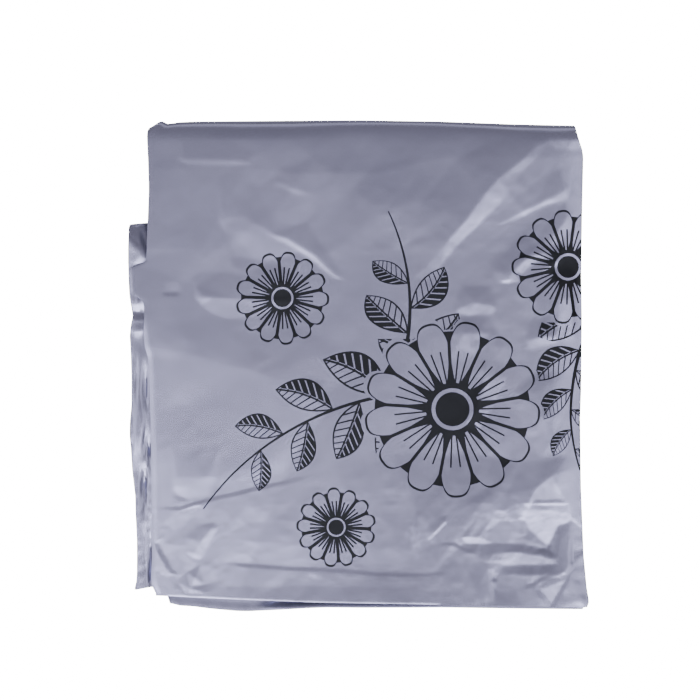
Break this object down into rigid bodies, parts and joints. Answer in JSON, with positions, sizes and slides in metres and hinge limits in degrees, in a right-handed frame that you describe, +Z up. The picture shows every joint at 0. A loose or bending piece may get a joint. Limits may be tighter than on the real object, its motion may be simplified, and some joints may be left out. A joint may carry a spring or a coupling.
{
  "type": "folded bicycle cover",
  "caption": "Bicycle cover of thin satin grey-lavender plastic film, folded flat into a soft layered packet with a rolled top end, loose back folds and hems",
  "frame": {"origin": "middle of the packet's outline, on the surface it lies on", "axes": "+Z up out of the face, +Y towards the folded-over end, +X to the right with the face seen from above"},
  "size_m": [0.5287, 0.5639, 0.0263],
  "materials": {
    "satin_film": "satin grey-lavender film with a printed pattern on its face"
  },
  "bodies": {
    "root": {"cover_sheet": "satin_film"}
  },
  "joints": []
}
